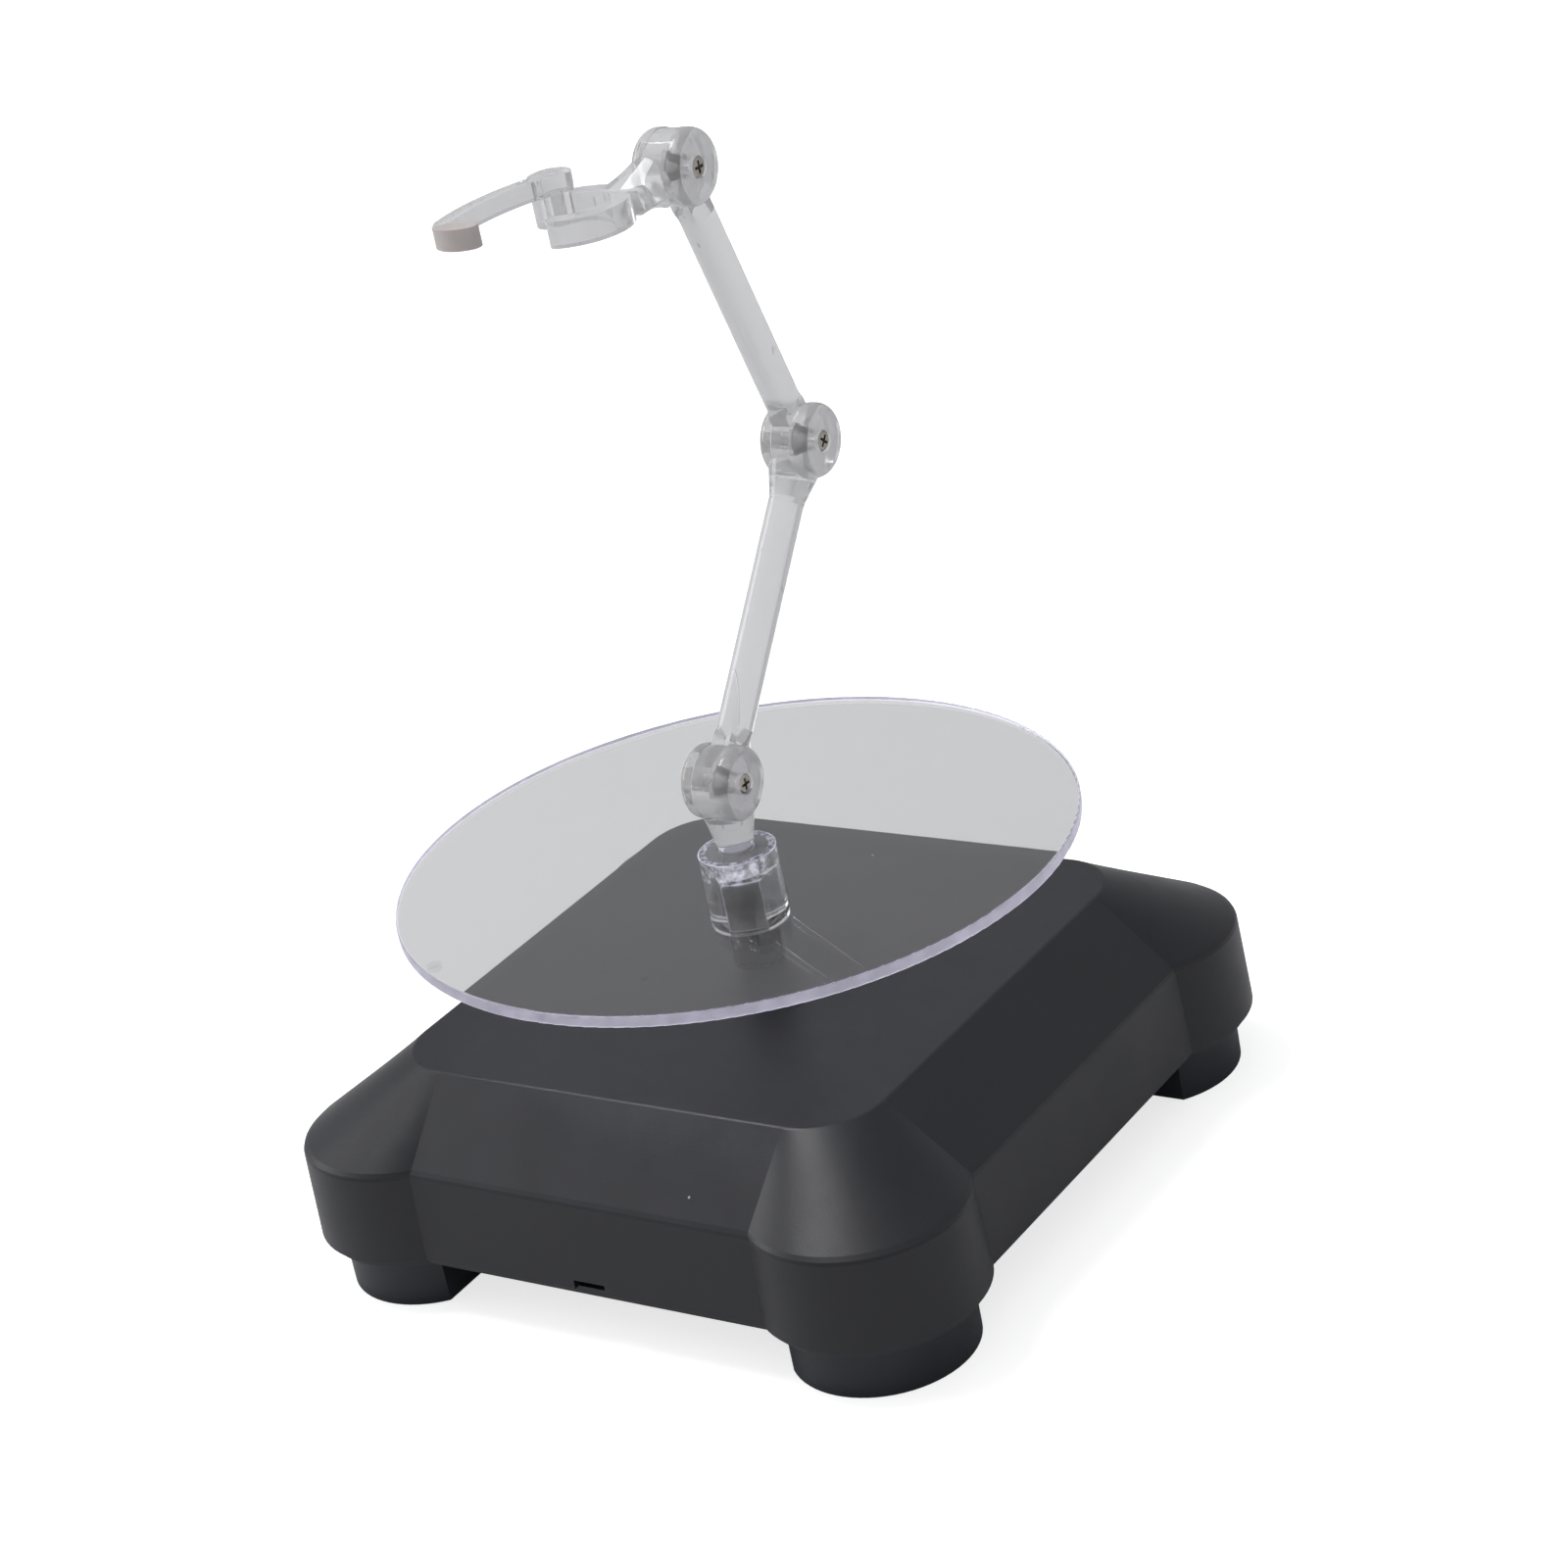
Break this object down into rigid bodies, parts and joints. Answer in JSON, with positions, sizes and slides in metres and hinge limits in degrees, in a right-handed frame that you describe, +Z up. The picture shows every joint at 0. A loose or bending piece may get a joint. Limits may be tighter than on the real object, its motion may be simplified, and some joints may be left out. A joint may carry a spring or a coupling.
{
  "type": "turntable display stand",
  "caption": "Battery-driven turntable display stand: square base with round corner towers and feet, clear disc, and a clear jointed arm with screw hinges and a curved holding claw.",
  "frame": {"origin": "on the floor under the centre of the base, at the foot soles", "axes": "+Z up along the spindle; X and Y along the sides of the base; the arm folds in the YZ plane and its claw points to -Y"},
  "size_m": [0.1104, 0.1104, 0.1534],
  "materials": {
    "black_abs": "matte, fine moulded grain",
    "clear_acrylic": "clear, polished",
    "clear_arm": "clear with a faint milky cast",
    "nickel": "nickel plated steel",
    "tip_rubber": "soft translucent sleeve",
    "white_pom": "natural acetal",
    "natural_abs": "natural moulding",
    "brass": "turned",
    "motor_steel": "zinc plated",
    "rotor_steel": "laminations and windings",
    "axle_steel": "ground",
    "black_acetal": "satin",
    "screw_steel": "black zinc",
    "switch_plastic": "matte",
    "slider_plastic": "matte",
    "red_pvc": "insulation",
    "black_pvc": "insulation",
    "blue_pvc": "insulation"
  },
  "bodies": {
    "base": {"top_shell": "black_abs", "bottom_cover": "black_abs", "feet": "black_abs", "battery_box": "black_abs", "cover_screws": "screw_steel", "contact_positive": "nickel", "contact_negative": "nickel", "battery_spring": "nickel", "switch_body": "switch_plastic", "switch_pins": "brass", "gear_axles": "axle_steel", "gearbox_plate": "natural_abs", "gearbox_lid": "natural_abs", "gearbox_screws": "screw_steel", "motor_can": "motor_steel", "motor_end_cap": "natural_abs", "motor_terminals": "brass", "motor_screws": "screw_steel", "red_lead": "red_pvc", "switch_lead": "blue_pvc", "black_lead": "black_pvc", "spindle_bush": "brass"},
    "battery_door": {"battery_door": "black_abs"},
    "switch_slider": {"switch_slider": "slider_plastic"},
    "turntable": {"spindle": "black_acetal", "output_gear": "white_pom"},
    "second_gear": {"second_gear": "white_pom"},
    "first_gear": {"first_gear": "white_pom"},
    "rotor": {"motor_rotor": "rotor_steel", "motor_pinion": "brass"},
    "disc_unit": {"disc": "clear_acrylic", "hub": "clear_acrylic"},
    "stem": {"stem": "clear_arm", "lower_screw": "nickel", "lower_nut": "nickel"},
    "lower_arm": {"lower_arm": "clear_arm", "elbow_screw": "nickel", "elbow_nut": "nickel"},
    "upper_arm": {"upper_arm": "clear_arm"},
    "claw": {"claw_body": "clear_arm", "wrist_screw": "nickel", "wrist_nut": "nickel"},
    "claw_finger": {"claw_finger": "clear_arm", "fingertip_pad": "tip_rubber"}
  },
  "joints": [
    {"name": "disc_spin", "type": "hinge", "parent": "base", "child": "turntable", "pos_m": [0, 0, 0.0331], "axis": [0, 0, 1], "continuous": true},
    {"name": "second_gear_spin", "type": "hinge", "parent": "base", "child": "second_gear", "pos_m": [-0.01379, -0.01157, 0.026], "axis": [0, 0, 1], "continuous": true},
    {"name": "first_gear_spin", "type": "hinge", "parent": "base", "child": "first_gear", "pos_m": [-0.00479, -0.02716, 0.0245], "axis": [0, 0, 1], "continuous": true},
    {"name": "rotor_spin", "type": "hinge", "parent": "base", "child": "rotor", "pos_m": [0.01153, -0.01955, 0.02], "axis": [0, 0, 1], "continuous": true},
    {"name": "disc_lift", "type": "slide", "parent": "turntable", "child": "disc_unit", "axis": [0, 0, 1], "range_m": [0, 0.012]},
    {"name": "stem_swivel", "type": "hinge", "parent": "disc_unit", "child": "stem", "pos_m": [0, 0, 0.05], "axis": [0, 0, 1], "continuous": true},
    {"name": "lower_hinge", "type": "hinge", "parent": "stem", "child": "lower_arm", "pos_m": [0, 0, 0.0626], "axis": [1, 0, 0], "range_deg": [-33.5, 116.5]},
    {"name": "elbow_hinge", "type": "hinge", "parent": "lower_arm", "child": "upper_arm", "pos_m": [0, 0.03419, 0.10125], "axis": [-1, 0, 0], "range_deg": [-39.2, 160.8]},
    {"name": "wrist_hinge", "type": "hinge", "parent": "upper_arm", "child": "claw", "pos_m": [0, 0.01786, 0.14787], "axis": [1, 0, 0], "range_deg": [-165, 24]},
    {"name": "finger_pivot", "type": "hinge", "parent": "claw", "child": "claw_finger", "pos_m": [-0.0123, 0.00589, 0.14787], "axis": [0, 0, 1], "range_deg": [-20, 30]},
    {"name": "battery_door_slide", "type": "slide", "parent": "base", "child": "battery_door", "axis": [1, 0, 0], "range_m": [0, 0.006]},
    {"name": "switch_slide", "type": "slide", "parent": "base", "child": "switch_slider", "axis": [0, 1, 0], "range_m": [0, 0.0024]}
  ],
  "couplings": [
    {"joint": "second_gear_spin", "follows": "disc_spin", "ratio": -4},
    {"joint": "first_gear_spin", "follows": "disc_spin", "ratio": 16},
    {"joint": "rotor_spin", "follows": "disc_spin", "ratio": -64}
  ]
}
